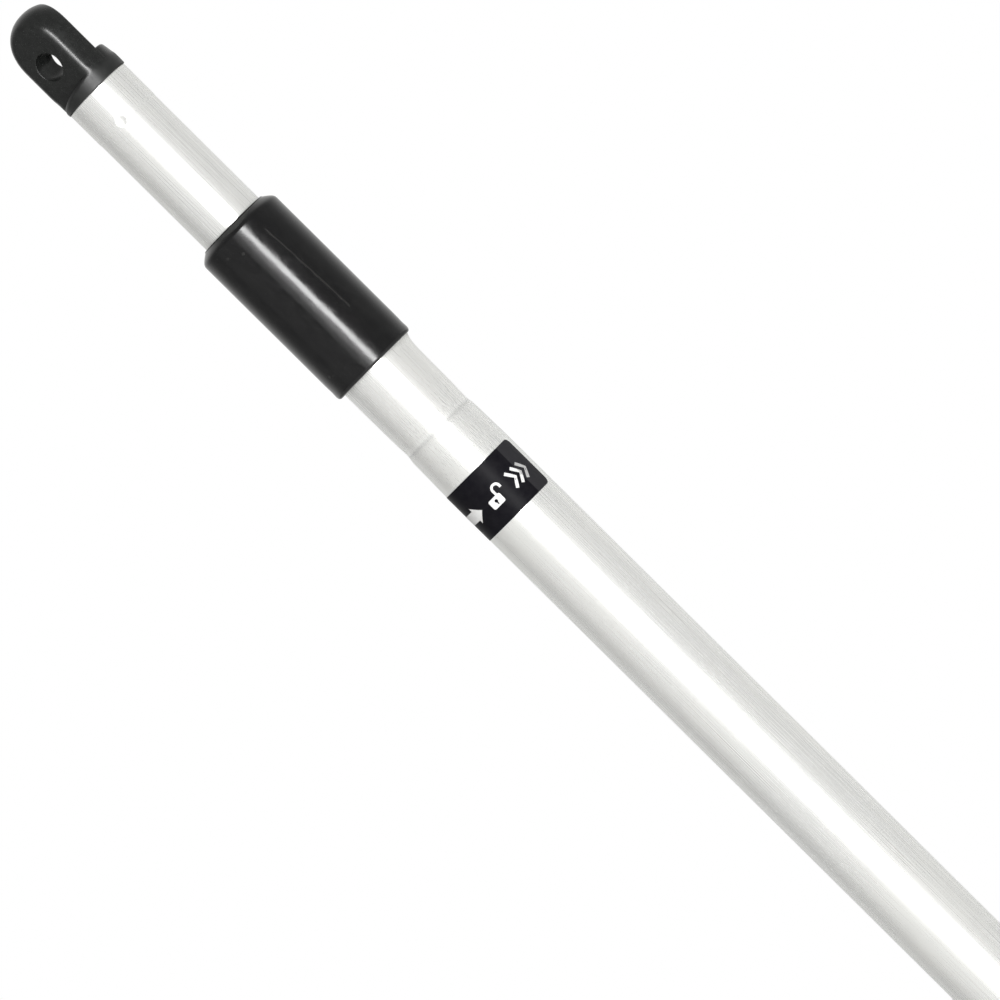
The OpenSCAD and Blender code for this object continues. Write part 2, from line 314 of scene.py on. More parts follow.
class Mat:
    """A node material with a Principled shader, in object coordinates scaled to millimetres."""

    def __init__(self, name, **const):
        self.m = bpy.data.materials.new(name)
        self.m.use_nodes = True
        self.t = self.m.node_tree
        self.b = self.t.nodes["Principled BSDF"]
        for k, v in const.items():
            self.b.inputs[k.replace("_", " ")].default_value = v
        co = self.t.nodes.new("ShaderNodeTexCoord")
        mp = self.t.nodes.new("ShaderNodeMapping")
        mp.inputs["Scale"].default_value = (1000, 1000, 1000)
        self.t.links.new(co.outputs["Object"], mp.inputs["Vector"])
        self.co = mp.outputs["Vector"]
        self.height = None

    def node(self, kind, **props):
        n = self.t.nodes.new(kind)
        for k, v in props.items():
            setattr(n, k, v)
        return n

    def put(self, socket, v):
        if isinstance(v, bpy.types.NodeSocket):
            self.t.links.new(v, socket)
        else:
            socket.default_value = v

    def math(self, op, a, b=0.0, c=None, clamp=False):
        n = self.node("ShaderNodeMath", operation=op, use_clamp=clamp)
        self.put(n.inputs[0], a)
        self.put(n.inputs[1], b)
        if c is not None:
            self.put(n.inputs[2], c)
        return n.outputs[0]

    def scaled(self, sx, sy, sz):
        n = self.node("ShaderNodeMapping")
        n.inputs["Scale"].default_value = (sx, sy, sz)
        self.t.links.new(self.co, n.inputs["Vector"])
        return n.outputs[0]

    def noise(self, scale, detail=3.0, rough=0.55, vec=None, distort=0.0):
        n = self.node("ShaderNodeTexNoise")
        self.t.links.new(vec if vec is not None else self.co, n.inputs["Vector"])
        n.inputs["Scale"].default_value = scale
        n.inputs["Detail"].default_value = detail
        n.inputs["Roughness"].default_value = rough
        n.inputs["Distortion"].default_value = distort
        return n.outputs["Fac"]

    def remap(self, v, a, b, c, d, smooth=False):
        n = self.node("ShaderNodeMapRange")
        n.interpolation_type = "SMOOTHSTEP" if smooth else "LINEAR"
        self.put(n.inputs["Value"], v)
        for k, x in zip(("From Min", "From Max", "To Min", "To Max"), (a, b, c, d)):
            self.put(n.inputs[k], x)
        return n.outputs["Result"]

    def mix(self, fac, a, b):
        n = self.node("ShaderNodeMix", data_type="RGBA")
        self.put(n.inputs["Factor"], fac)
        for i, v in ((6, a), (7, b)):
            if isinstance(v, bpy.types.NodeSocket):
                self.t.links.new(v, n.inputs[i])
            else:
                n.inputs[i].default_value = (*v, 1)
        return n.outputs[2]

    def xyz(self):
        n = self.node("ShaderNodeSeparateXYZ")
        self.t.links.new(self.co, n.inputs[0])
        return n.outputs

    def round_tube(self):
        """The angle round the pole in degrees, and the height in millimetres."""
        x, y, z = self.xyz()[:3]
        a = self.math("ARCTAN2", y, x)
        return self.math("MULTIPLY", a, 180 / math.pi), z

    def bump(self, height, distance, strength=1.0):
        n = self.node("ShaderNodeBump")
        n.inputs["Strength"].default_value = strength
        n.inputs["Distance"].default_value = distance
        self.t.links.new(height, n.inputs["Height"])
        if self.height is not None:
            self.t.links.new(self.height, n.inputs["Normal"])
        self.height = n.outputs[0]
        self.t.links.new(self.height, self.b.inputs["Normal"])

    def set(self, **links):
        for k, v in links.items():
            self.put(self.b.inputs[k.replace("_", " ")], v)
        return self.m


# ----------------------------------------------------------------- materials

def aluminium(name, tone=(0.80, 0.803, 0.785), rough=0.28, groove_shade_z=None):
    m = Mat(name, Metallic=0.62)
    # fine lines drawn along the tube, and broad faint variation round and along it
    lines = m.noise(1.0, 4, 0.65, m.scaled(9.0, 9.0, 0.012))
    fine = m.noise(1.0, 2, 0.5, m.scaled(26.0, 26.0, 0.05))
    patch = m.noise(0.035, 3, 0.5, m.scaled(1, 1, 0.5))
    grain = m.noise(9.0, 2, 0.6)
    k = m.remap(lines, 0.3, 0.7, 0.0, 1.0)
    dark = tuple(c * 0.965 for c in tone)
    col = m.mix(k, dark, tone)
    warm = tuple(c * s for c, s in zip(tone, (1.0, 0.995, 0.975)))
    col = m.mix(m.remap(patch, 0.35, 0.65, 0.0, 0.5), col, warm)
    r = m.math("ADD", m.remap(lines, 0.3, 0.7, rough + 0.025, rough - 0.025),
               m.remap(patch, 0.3, 0.7, -0.015, 0.015))
    if groove_shade_z is not None:
        # painted shade: a dark line is painted along the rolled groove, with a painted highlight line 1.5 mm above it
        z = m.xyz()[2]
        off = m.math("ABSOLUTE", m.math("SUBTRACT", z, groove_shade_z))
        col = m.mix(m.remap(off, 0.15, 0.95, 1.0, 0.0, True), col, tuple(c * 0.86 for c in tone))
        off = m.math("ABSOLUTE", m.math("SUBTRACT", z, groove_shade_z + 1.5))
        col = m.mix(m.remap(off, 0.2, 1.0, 0.5, 0.0, True), col, tuple(min(1.0, c * 1.1) for c in tone))
    m.bump(lines, 0.0000014, 0.5)
    m.bump(fine, 0.0000011, 0.5)
    m.bump(grain, 0.000002, 0.3)
    return m.set(Base_Color=col, Roughness=r)


def black_plastic(name, tone=(0.0062, 0.0066, 0.0063), rough=0.23, wave=1.0, dull=None):
    m = Mat(name, IOR=1.5)
    soft = m.noise(0.16, 2, 0.5)
    fine = m.noise(2.2, 3, 0.6)
    smear = m.noise(0.45, 4, 0.6, distort=0.6)
    col = m.mix(m.remap(smear, 0.35, 0.7, 0.0, 1.0), tone, tuple(c * 1.6 for c in tone))
    r = m.math("ADD", m.remap(smear, 0.35, 0.75, rough, rough + 0.09),
               m.remap(fine, 0.3, 0.7, -0.02, 0.03))
    if dull is not None:
        # rubbed duller below this height
        z = m.xyz()[2]
        r = m.math("ADD", r, m.remap(z, dull + 3.6, dull + 6.0, 0.2, 0.0, True))
    m.bump(soft, 0.00006 * wave, 0.5)
    m.bump(fine, 0.000006, 0.5)
    return m.set(Base_Color=col, Roughness=r)


def nylon(name, tone, rough=0.42):
    m = Mat(name, IOR=1.52, Subsurface_Weight=0.08, Subsurface_Scale=0.001)
    n1 = m.noise(0.6, 3, 0.5)
    n2 = m.noise(6.0, 3, 0.6)
    col = m.mix(m.remap(n1, 0.35, 0.7, 0.0, 1.0), tone, tuple(c * 0.86 for c in tone))
    m.bump(n2, 0.000012, 0.5)
    return m.set(Base_Color=col, Roughness=m.remap(n2, 0.3, 0.7, rough - 0.06, rough + 0.08))


def zinc(name, tone=(0.66, 0.67, 0.67)):
    m = Mat(name, Metallic=1.0)
    n1 = m.noise(1.3, 4, 0.6)
    n2 = m.noise(12.0, 2, 0.6)
    col = m.mix(m.remap(n1, 0.35, 0.7, 0.0, 1.0), tone, tuple(c * s for c, s in zip(tone, (0.9, 0.93, 0.97))))
    m.bump(n2, 0.000004, 0.6)
    return m.set(Base_Color=col, Roughness=m.remap(n1, 0.3, 0.7, 0.22, 0.36))


def vinyl(name):
    """Glossy black vinyl with the scuffs, specks and the long scratch it has picked up."""
    m = Mat(name, IOR=1.5)
    ang, z = m.round_tube()
    # the height below the sleeve's top, and the angle from the direction of the scratch side
    down = m.math("SUBTRACT", SLEEVE_TOP, z)
    soft = m.noise(0.09, 2, 0.5)
    mid = m.noise(0.5, 3, 0.55)
    fine = m.noise(5.0, 3, 0.6)
    smear = m.noise(0.3, 4, 0.62, m.scaled(1, 1, 0.45), 0.8)
    tone = (0.0028, 0.0028, 0.0030)
    col = m.mix(m.remap(smear, 0.4, 0.75, 0.0, 1.0), tone, (0.0055, 0.0055, 0.0056))
    rough = m.math("ADD", m.remap(smear, 0.38, 0.75, 0.15, 0.24), m.remap(fine, 0.3, 0.7, -0.01, 0.02))

    def line(a0, d0, a1, d1, half, soften=0.05):
        """A thin straight mark from (angle, depth) to (angle, depth), in degrees and mm."""
        k = math.radians(1) * 17.3
        ux, uy = (a1 - a0) * k, d1 - d0
        ln = math.hypot(ux, uy)
        ux, uy = ux / ln, uy / ln
        px = m.math("MULTIPLY", m.math("SUBTRACT", ang, a0), k)
        py = m.math("SUBTRACT", down, d0)
        along = m.math("ADD", m.math("MULTIPLY", px, ux), m.math("MULTIPLY", py, uy))
        off = m.math("SUBTRACT", m.math("MULTIPLY", px, uy), m.math("MULTIPLY", py, ux))
        bend = m.math("MULTIPLY", m.math("MULTIPLY", along, m.math("SUBTRACT", ln, along)), -0.9 / ln ** 2)
        off = m.math("ADD", off, m.math("ADD", bend, m.remap(smear, 0.3, 0.7, -0.25, 0.25)))
        off = m.math("ABSOLUTE", off)
        body = m.remap(off, half, half + soften, 1.0, 0.0, True)
        a = m.remap(along, -0.3, 0.8, 0.0, 1.0, True)
        b = m.remap(along, ln - 0.8, ln + 0.3, 1.0, 0.0, True)
        return m.math("MULTIPLY", body, m.math("MULTIPLY", a, b))

    def spot(a0, d0, rad):
        px = m.math("MULTIPLY", m.math("SUBTRACT", ang, a0), math.radians(1) * 17.3)
        py = m.math("SUBTRACT", down, d0)
        d = m.math("SQRT", m.math("ADD", m.math("MULTIPLY", px, px), m.math("MULTIPLY", py, py)))
        return m.remap(d, rad * 0.6, rad, 1.0, 0.0, True)

    marks = None
    for a in [line(-24.6, 9.0, -18.3, 49.0, 0.05, 0.55),
              spot(-62.8, 10.2, 0.75), spot(-81.0, 7.6, 0.7), spot(-101.0, 60.6, 0.7)]:
        marks = a if marks is None else m.math("MAXIMUM", marks, a)
    # a patch of short scuffs near the lower end
    near = m.math("MULTIPLY", m.remap(m.math("ABSOLUTE", m.math("SUBTRACT", ang, -86.0)), 6, 20, 1.0, 0.0, True),
                  m.remap(m.math("ABSOLUTE", m.math("SUBTRACT", down, 61.5)), 2.0, 5.5, 1.0, 0.0, True))
    streak = m.noise(1.0, 3, 0.7, m.scaled(2.6, 2.6, 0.7))
    scuff = m.math("MULTIPLY", near, m.remap(streak, 0.54, 0.66, 0.0, 1.0))
    hair = m.noise(1.0, 2, 0.7, m.scaled(5.0, 5.0, 0.16))
    hairs = m.remap(hair, 0.70, 0.78, 0.0, 0.35)
    wear = m.math("MAXIMUM", m.math("MULTIPLY", scuff, 0.55), hairs)
    col = m.mix(m.math("MULTIPLY", marks, 0.7), col, (0.0145, 0.0145, 0.014))
    col = m.mix(m.math("MULTIPLY", wear, 0.35), col, (0.04, 0.04, 0.04))
    rough = m.math("ADD", rough, m.math("MULTIPLY", m.math("MAXIMUM", marks, wear), 0.12))
    m.bump(soft, 0.00022, 0.5)
    m.bump(mid, 0.000022, 0.5)
    m.bump(fine, 0.000003, 0.5)
    return m.set(Base_Color=col, Roughness=rough)


def label_film(name):
    m = Mat(name, IOR=1.5, Specular_IOR_Level=0.05)
    ang, z = m.round_tube()
    fine = m.noise(9.0, 3, 0.6)
    soft = m.noise(0.35, 3, 0.5)
    smear = m.noise(0.5, 4, 0.6)
    col = m.mix(m.remap(smear, 0.35, 0.7, 0.0, 1.0), (0.0048, 0.0045, 0.0062), (0.0075, 0.0072, 0.0088))
    # painted reflection: the end of the label, where it turns away from the camera, is painted lighter as if it caught
    # the surroundings
    col = m.mix(m.remap(ang, -11.5, -10.9, 0.0, 1.0), col, (0.021, 0.0205, 0.0225))
    m.bump(soft, 0.000025, 0.5)
    m.bump(fine, 0.000004, 0.5)
    return m.set(Base_Color=col, Roughness=m.remap(smear, 0.3, 0.7, 0.34, 0.44))


def ink(name):
    m = Mat(name, IOR=1.5)
    fine = m.noise(14.0, 3, 0.6)
    soft = m.noise(1.2, 3, 0.5)
    ang, z = m.round_tube()
    col = m.mix(m.remap(fine, 0.35, 0.75, 0.0, 1.0), (0.60, 0.597, 0.59), (0.52, 0.517, 0.51))
    # painted shade: the ink is greyer where it crosses the painted reflection band, as the label turns away from the
    # light there
    col = m.mix(m.remap(ang, -11.5, -10.9, 0.0, 1.0), col, (0.33, 0.328, 0.325))
    m.bump(fine, 0.000004, 0.5)
    return m.set(Base_Color=col, Roughness=m.remap(soft, 0.3, 0.7, 0.3, 0.42))


# the outer tube carries a painted shade line and a painted highlight line at its groove
M_TUBE = aluminium("satin_aluminium_outer", groove_shade_z=GROOVE - 1.4)
M_TUBE_IN = aluminium("satin_aluminium_inner", (0.775, 0.778, 0.762), 0.28)
M_CAP = black_plastic("moulded_black_gloss", dull=RIM)
M_TIP = black_plastic("moulded_black_satin", (0.012, 0.012, 0.0123), 0.32, 0.6)
M_VINYL = vinyl("black_vinyl")
M_LABEL = label_film("black_label_film")
M_INK = ink("white_label_ink")
M_NYLON = nylon("natural_nylon", (0.78, 0.76, 0.70))
M_LINER = nylon("white_nylon_liner", (0.80, 0.80, 0.77), 0.38)
M_PLUG = nylon("red_nylon", (0.42, 0.045, 0.035), 0.36)
M_ZINC = zinc("bright_zinc")
M_RIVET = aluminium("plain_aluminium_rivet", (0.74, 0.74, 0.735), 0.36)


def dress(ob, mat):
    ob.data.materials.clear()
    ob.data.materials.append(mat)


def place(ob, mat, body, node=None, slot=None):
    dress(ob, mat)
    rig.ride(ob, body)
    if node:
        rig.replaces(ob, node)
    if slot:
        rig.slot(ob, slot)
    return ob


# ------------------------------------------------------------------ the tubes

def smooth_line(points, step):
    """A monotone curve through (z, r) points, sampled every step of z."""
    p = np.asarray(points, float)
    z, r = p[:, 0], p[:, 1]
    n = len(z)
    h, d = np.diff(z), np.diff(r) / np.diff(z)
    m = np.zeros(n)
    for i in range(1, n - 1):
        if d[i - 1] * d[i] > 0:
            w1, w2 = 2 * h[i] + h[i - 1], h[i] + 2 * h[i - 1]
            m[i] = (w1 + w2) / (w1 / d[i - 1] + w2 / d[i])
    zz = np.arange(z[0], z[-1] + step / 2, step)
    zz[-1] = z[-1]
    k = np.clip(np.searchsorted(z, zz, side="right") - 1, 0, n - 2)
    t = (zz - z[k]) / h[k]
    rr = ((2 * t ** 3 - 3 * t ** 2 + 1) * r[k] + (t ** 3 - 2 * t ** 2 + t) * h[k] * m[k]
          + (-2 * t ** 3 + 3 * t ** 2) * r[k + 1] + (t ** 3 - t ** 2) * h[k] * m[k + 1])
    return rr, zz


def outer_tube():
    pts = [(GROOVE - 34, 15.0), (GROOVE - 22, 14.98), (GROOVE - 17, 14.94),
           (GROOVE - 10.6, 14.80), (GROOVE - 5, 14.70), (GROOVE - 3.4, 14.66),
           (GROOVE - 2.2, 14.50), (GROOVE - 1.1, 14.29), (GROOVE - 0.2, 14.23),
           (GROOVE + 0.9, 14.25), (GROOVE + 2.1, 14.31), (GROOVE + 3.4, 14.36),
           (GROOVE + 8, 14.46), (GROOVE + 20, 14.555), (SLEEVE_LOW - 4, 14.57),
           (SLEEVE_LOW - 1.2, 14.59), (SLEEVE_LOW + 2, 14.60)]
    r, z = smooth_line(pts, 0.35)
    out = [(R_OUT - 0.25, FOOT), (R_OUT, FOOT + 0.25)]
    out += [(R_OUT, q) for q in np.linspace(FOOT + 2, GROOVE - 35, 24)]
    out += list(zip(r, z)) + [(14.6, SLEEVE_LOW + 20), (14.6, MOUTH - 0.2), (14.4, MOUTH)]
    inn = [(13.6, MOUTH), (13.4, MOUTH - 0.2)]
    inn += [(a - 1.2, b) for a, b in list(zip(r, z))[::-6]]
    inn += [(13.8, GROOVE - 36), (13.8, FOOT + 0.2), (14.0, FOOT)]
    def flare(t, r, z):
        # the drawn neck is pushed out a little on one side, just below the sleeve
        d = (t - math.radians(52) + math.pi) % (2 * math.pi) - math.pi
        k = np.exp(-(d / math.radians(30)) ** 2) * np.exp(-np.clip(SLEEVE_LOW - z, 0, 99) / 2.1)
        k = k * (z < SLEEVE_LOW + 0.1) * (r > 13.9) * (z > GROOVE + 8)
        return r + 1.35 * k, z

    ob = revolve("outer_tube_drawn", out + inn, 288, 28, flare)
    return place(ob, M_TUBE, "outer", "outer_tube", "tube_aluminium")


STAKES = (-55.0, 125.0)
STAKE_Z = RIM - 14.1


def inner_tube():
    """The tube is a grid of heights and angles, close together where the punch marks are."""
    ta = [math.radians(a) for a in STAKES]
    fine = np.linspace(-18, 18, 73)
    deg = set(np.round(np.arange(0, 360, 1.5), 3))
    for s in STAKES:
        deg = {d for d in deg if abs((d - s + 180) % 360 - 180) > 18.4}
        deg |= {round((s + a) % 360, 3) for a in fine}
    th = np.radians(np.array(sorted(deg)))
    z_out = np.concatenate([
        np.linspace(TUBE_LOW + 0.2, RIM - 24, 26), np.arange(RIM - 22, RIM - 18.5, 0.5),
        np.arange(RIM - 18.5, RIM - 9, 0.1), np.arange(RIM - 9, RIM - 1, 1.0),
        [RIM - 0.8, RIM - 0.45]])
    bell = lambda z: R_IN + 0.15 / (1 + np.exp(-(z - (RIM - 14.9)) / 0.38))
    lo = [(bell(np.array(TUBE_LOW)) - 0.2, TUBE_LOW)]
    hi = arc(R_IN + 0.15 - 0.45, RIM - 0.45, 0.45, 8, 90, 8)
    z_in = np.concatenate([[RIM - 0.4], np.arange(RIM - 1, RIM - 9, -1.0), np.arange(RIM - 9, RIM - 18.5, -0.25),
                           [RIM - 20, RIM - 24], np.linspace(RIM - 40, TUBE_LOW + 0.2, 14)])
    loop = lo + [(float(bell(q)), q) for q in z_out] + hi
    loop += [(float(bell(q)) - 1.0, q) for q in z_in] + [(R_IN - 0.8, TUBE_LOW)]
    loop = np.array(loop)
    n = len(loop)
    t = np.repeat(th[:, None], n, 1)
    r = np.repeat(loop[None, :, 0], len(th), 0)
    z = np.repeat(loop[None, :, 1], len(th), 0)
    for a in ta:
        dth = (t - a + math.pi) % (2 * math.pi) - math.pi
        d = np.hypot(dth * R_IN, (z - STAKE_Z) * 0.96)
        r = r - 0.40 / (1 + np.exp((d - 1.3) / 0.34)) - 0.08 * np.exp(-(d / 2.6) ** 2)
        r = r + 0.03 * np.exp(-((d - 2.2) / 0.4) ** 2)
    v = np.stack([r * np.cos(t), r * np.sin(t), z], -1).reshape(-1, 3)
    i, j = np.arange(len(th))[:, None], np.arange(n)[None, :]
    i2, j2 = (i + 1) % len(th), (j + 1) % n
    f = np.stack([i * n + j, i2 * n + j, i2 * n + j2, i * n + j2], -1).reshape(-1, 4)
    ob = make_mesh("inner_tube_drawn", v, f, 35)
    return place(ob, M_TUBE_IN, "inner", "inner_tube", "tube_aluminium")


# ---------------------------------------------------------------- the sleeve

def grip_sleeve():
    top, low, R = SLEEVE_TOP, SLEEVE_LOW, 17.27
    mouth = R_IN + 0.45
    loop = [(14.62, low), (15.6, low)]
    foot = [(low, R - 0.95), (low + 0.15, R - 0.6), (low + 0.4, R - 0.34), (low + 0.8, R - 0.14),
            (low + 1.2, R - 0.04), (low + 1.7, R - 0.01), (low + 2.6, R - 0.04), (low + 3.6, R - 0.10),
            (low + 4.8, R - 0.07), (low + 6.5, R - 0.02), (low + 8.0, R)]
    rr, zz = smooth_line(foot, 0.1)
    loop += list(zip(rr, zz))
    loop += [(R, q) for q in np.linspace(low + 9.0, top - 5.0, 50)]
    shoulder = [(top - 4.4, R), (top - 3.9, R - 0.02), (top - 3.4, R - 0.12), (top - 3.0, R - 0.29),
                (top - 2.55, R - 0.6), (top - 2.05, R - 1.1), (top - 1.5, R - 1.8), (top - 1.0, R - 2.5),
                (top - 0.6, R - 3.05), (top - 0.33, R - 3.42)]
    rr, zz = smooth_line(shoulder, 0.12)
    loop += list(zip(rr, zz))
    loop += arc(mouth + 0.42, top - 0.42, 0.42, 60, 180, 9)
    loop += [(mouth, top - 1.5), (mouth, MOUTH + 1.25), (14.62, MOUTH + 1.25)]
    loop += [(14.62, q) for q in np.linspace(MOUTH, low + 5, 6)]

    def soft(t, r, z):
        # vinyl is never quite true: it is a touch oval and its shoulder a touch uneven
        w = np.clip((r - 14.7) / 2.6, 0, 1)
        dz = 0.08 * np.sin(2 * t + 0.7) + 0.04 * np.sin(5 * t + 2.0)
        up = np.clip((z - (top - 6)) / 6, 0, 1)
        r = r - w * (0.02 + 0.015 * np.sin(z * 0.11 + np.cos(t)) + 0.02 * (1 + np.cos(2 * t)))
        return r, z - up * w * (0.12 + dz)

    ob = revolve("grip_sleeve_vinyl", loop, 256, 40, soft)
    return place(ob, M_VINYL, "outer", "grip_sleeve", "sleeve_vinyl")


# ------------------------------------------------------------------- the cap

CAP_Z = [0.0, 2.4, 4.1, 5.7, 7.6, 9.8, 11.5, 13.5, 16.0, 20.0]
CAP_B = [7.6, 4.6, 3.5, 2.8, 2.1, 1.5, 1.1, 0.8, 0.7, 0.7]


def ease(x):
    x = np.clip(x, 0, 1)
    return x * x * (3 - 2 * x)


def cap_field(x, y, z):
    """Distance to the cap's surface. z is counted up from the tube's rim."""
    rho = np.hypot(x, y)
    safe = np.maximum(rho, 1e-6)
    zt = TOP - RIM
    a, b, n = 13.5, 16.0, 2.2
    dz = np.maximum(z - (zt - b), 0)
    e = np.maximum((rho / a) ** n + (dz / b) ** n, 1e-6) ** (1 / n)
    gh = e ** (1 - n) * (rho / a) ** (n - 1) / a
    gr = np.hypot(gh, e ** (1 - n) * (dz / b) ** (n - 1) / b)
    dome = (e - 1) / np.maximum(gr, 0.03)
    # below the dome the side comes in a little to the foot
    side_r = 13.5 - 0.28 * np.clip((9.5 - z) / 8.5, 0, 1) ** 1.2
    dome = np.where(z < zt - b, rho - side_r, dome)
    lean = gh / np.maximum(gr, 1e-6)
    front = -y - 9.0
    back = (y - np.interp(zt - z, CAP_Z, CAP_B)) * 0.95
    tongue = cut_fillet(dome, front, 3.9 + 1.8 * ease((9.0 - z) / 4.5), -y / safe * lean)
    tongue = cut_round(tongue, back, 1.2)
    # the foot runs out of the tongue's sides and draws in towards the back
    foot_r = side_r - 0.03 - ease((y - 0.5) / 8.0) * 1.15 * np.clip((z - 2.0) / 8.2, 0, 1) ** 1.7
    foot_r = foot_r - 0.6 * ease((-0.6 - y) / 2.0)
    foot = cut_round(rho - foot_r, z - 10.2, 0.8)
    foot = np.maximum(foot, -(y + 3.0))
    low = (z - 4.6 - 0.176 * x) * 0.985
    toe = cut_round(rho - 13.2, low, 1.9)
    body = join_round(tongue, foot, 0.2)
    body = join_round(body, toe, 0.45)
    # the underside rests on the tube with a small rounded edge
    body = cut_round(body, -z + 0.02, 0.28)
    # the eye draws in a little towards its back, as a moulded hole does
    eye = 5.4 - 0.44 * ease((y + 6) / 6) - np.hypot(x, z - 16.7)
    body = cut_round(body, eye, 0.32 - 0.22 * ease((y + 4) / 4))
    spigot = cut_round(rho - np.where(z > -13.9, 11.78, 11.62), -z - 24.0, 0.5)
    spigot = np.maximum(spigot, z - 2.0)
    body = np.minimum(body, spigot)
    hollow = np.maximum(rho - 9.5, z - 3.0)
    body = np.maximum(body, -hollow)
    # hollows where the stakes press in
    for s in STAKES:
        q = math.radians(s)
        cx, cy = 14.1 * math.cos(q), 14.1 * math.sin(q)
        body = np.maximum(body, 3.25 - np.sqrt((x - cx) ** 2 + (y - cy) ** 2 + (z + 14.1) ** 2))
    return body


def hang_cap():
    h = 0.36 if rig.quick() else 0.26
    v, q, n = surface_nets(cap_field, (-14.0, -14.0, -24.6), (14.0, 14.0, TOP - RIM + 0.8), h)
    v[:, 2] += RIM
    ob = make_mesh("hang_cap_moulding", v, q, None, n)
    return place(ob, M_CAP, "inner", "hang_cap", "cap_plastic")


# ------------------------------------------------------------------- the tip

def tip_field(x, y, z):
    rho = np.hypot(x, y)
    th = np.arctan2(y, x)
    pitch, length = 5.08, -TIP_LOW
    ph = (z + length + 6) / pitch - th / (2 * math.pi)
    d = np.abs(ph - np.floor(ph) - 0.36) * pitch
    d = np.minimum(d, np.abs(ph - np.floor(ph) - 1.36) * pitch)
    k = np.clip((1.83 - d) / 0.92, 0, 1)
    k = k * k * (3 - 2 * k) * 0.35 + k * 0.65
    rise = 2.5 * np.clip((z + length) / 3.0 + 0.12, 0, 1) * np.clip((-2.2 - z) / 1.8, 0, 1)
    core = 6.9 - 1.4 * np.clip((2 - length - z) / 2, 0, 1)
    screw = (rho - core - rise * k) * 0.72
    screw = cut_round(screw, -z - length, 0.35)
    screw = np.maximum(screw, z - 2)
    collar = cut_round(rho - 15.0, -z, 1.3)
    collar = cut_round(collar, z - (FOOT - 0.02), 0.2)
    collar = cut_round(collar, -cut_round(rho - 10.0, z - 1.0, 0.3), 0.25)
    body = join_round(screw, collar, 0.35)
    spigot = cut_round(rho - 13.74, z - SPIGOT_TOP, 1.1)
    spigot = np.maximum(spigot, 3 - z)
    hollow = cut_round(rho - 9.3, -(z - (FOOT + 2.2)), 1.0)
    spigot = np.maximum(spigot, -hollow)
    body = np.minimum(body, spigot)
    return body


def threaded_tip():
    h = 0.5 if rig.quick() else 0.33
    v, q, n = surface_nets(tip_field, (-15.6, -15.6, TIP_LOW - 0.8), (15.6, 15.6, SPIGOT_TOP + 0.8), h)
    ob = make_mesh("threaded_tip_moulding", v, q, None, n)
    return place(ob, M_TIP, "outer", "threaded_tip", "tip_plastic")


def rivets():
    lo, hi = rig.box("tip_rivets")
    zc = (lo.z + hi.z) / 2 / MM
    vs, fs = [], []
    prof = [(0.0, 1.12), (0.7, 1.11), (1.4, 1.05), (2.0, 0.9), (2.5, 0.66), (2.85, 0.4), (3.05, 0.18),
            (3.1, 0.05), (3.05, 0.03), (1.6, 0.03), (1.6, -6.05), (2.22, -6.12), (2.3, -6.8), (2.0, -7.4), (0.0, -7.45)]
    # the mandrel's seat in the middle of the head
    prof = [(0.0, 0.72), (0.75, 0.74), (0.95, 0.98), (1.1, 1.1)] + prof[2:]
    seg = 48
    for side in (1, -1):
        base = len(vs)
        for r, a in prof:
            for k in range(seg):
                t = 2 * math.pi * k / seg
                # a head pulled onto a round tube hugs it
                sag = -(r * math.cos(t)) ** 2 / (2 * R_OUT) if a > -1 else 0
                vs.append((side * (R_OUT + a + sag), side * r * math.cos(t), zc + r * math.sin(t)))
        for p in range(len(prof) - 1):
            for k in range(seg):
                a, b = base + p * seg + k, base + p * seg + (k + 1) % seg
                fs.append((a, a + seg, b + seg, b))
    ob = make_mesh("tip_rivets_domed", vs, fs, 40)
    import bmesh
    bm = bmesh.new()
    bm.from_mesh(ob.data)
    bmesh.ops.remove_doubles(bm, verts=bm.verts, dist=1e-7)
    bmesh.ops.recalc_face_normals(bm, faces=bm.faces)
    bm.to_mesh(ob.data)
    bm.free()
    return place(ob, M_RIVET, "outer", "tip_rivets", "rivet_aluminium")


# ----------------------------------------------------------------- the label

LABEL_RIGHT = 19.0            # angle of the right-hand edge, in degrees
LABEL_W = math.radians(206) * R_OUT   # length round the tube
LABEL_MID = (LABEL_LOW + LABEL_TOP) / 2


def wrap(u, z, r):
    """u is the distance round the tube from the label's left edge to the right."""
    a = math.radians(LABEL_RIGHT) - (LABEL_W - np.asarray(u)) / R_OUT
    return np.stack([r * np.cos(a), r * np.sin(a), np.asarray(z) + 0 * a], -1)


def film(name, us, lows, highs, r0, r1, rows=4):
    """A thin curved film between two edges given at each u."""
    us, lows, highs = (np.asarray(q, float) for q in (us, lows, highs))
    k = np.linspace(0, 1, rows + 1)
    U = np.repeat(us[:, None], rows + 1, 1)
    Z = lows[:, None] + (highs - lows)[:, None] * k[None, :]
    n, m = U.shape
    top, bot = wrap(U, Z, r1).reshape(-1, 3), wrap(U, Z, r0).reshape(-1, 3)
    v = np.concatenate([top, bot])
    o = n * m
    f = []
    for i in range(n - 1):
        for j in range(m - 1):
            a, b, c, d = i * m + j, (i + 1) * m + j, (i + 1) * m + j + 1, i * m + j + 1
            f.append((a, b, c, d))
            f.append((o + a, o + d, o + c, o + b))
        a, b = i * m, (i + 1) * m
        f.append((a, o + a, o + b, b))
        a, b = i * m + m - 1, (i + 1) * m + m - 1
        f.append((a, b, o + b, o + a))
    for j in range(m - 1):
        a, d = j, j + 1
        f.append((a, d, o + d, o + a))
        a, d = (n - 1) * m + j, (n - 1) * m + j + 1
        f.append((a, o + a, o + d, d))
    return v, f


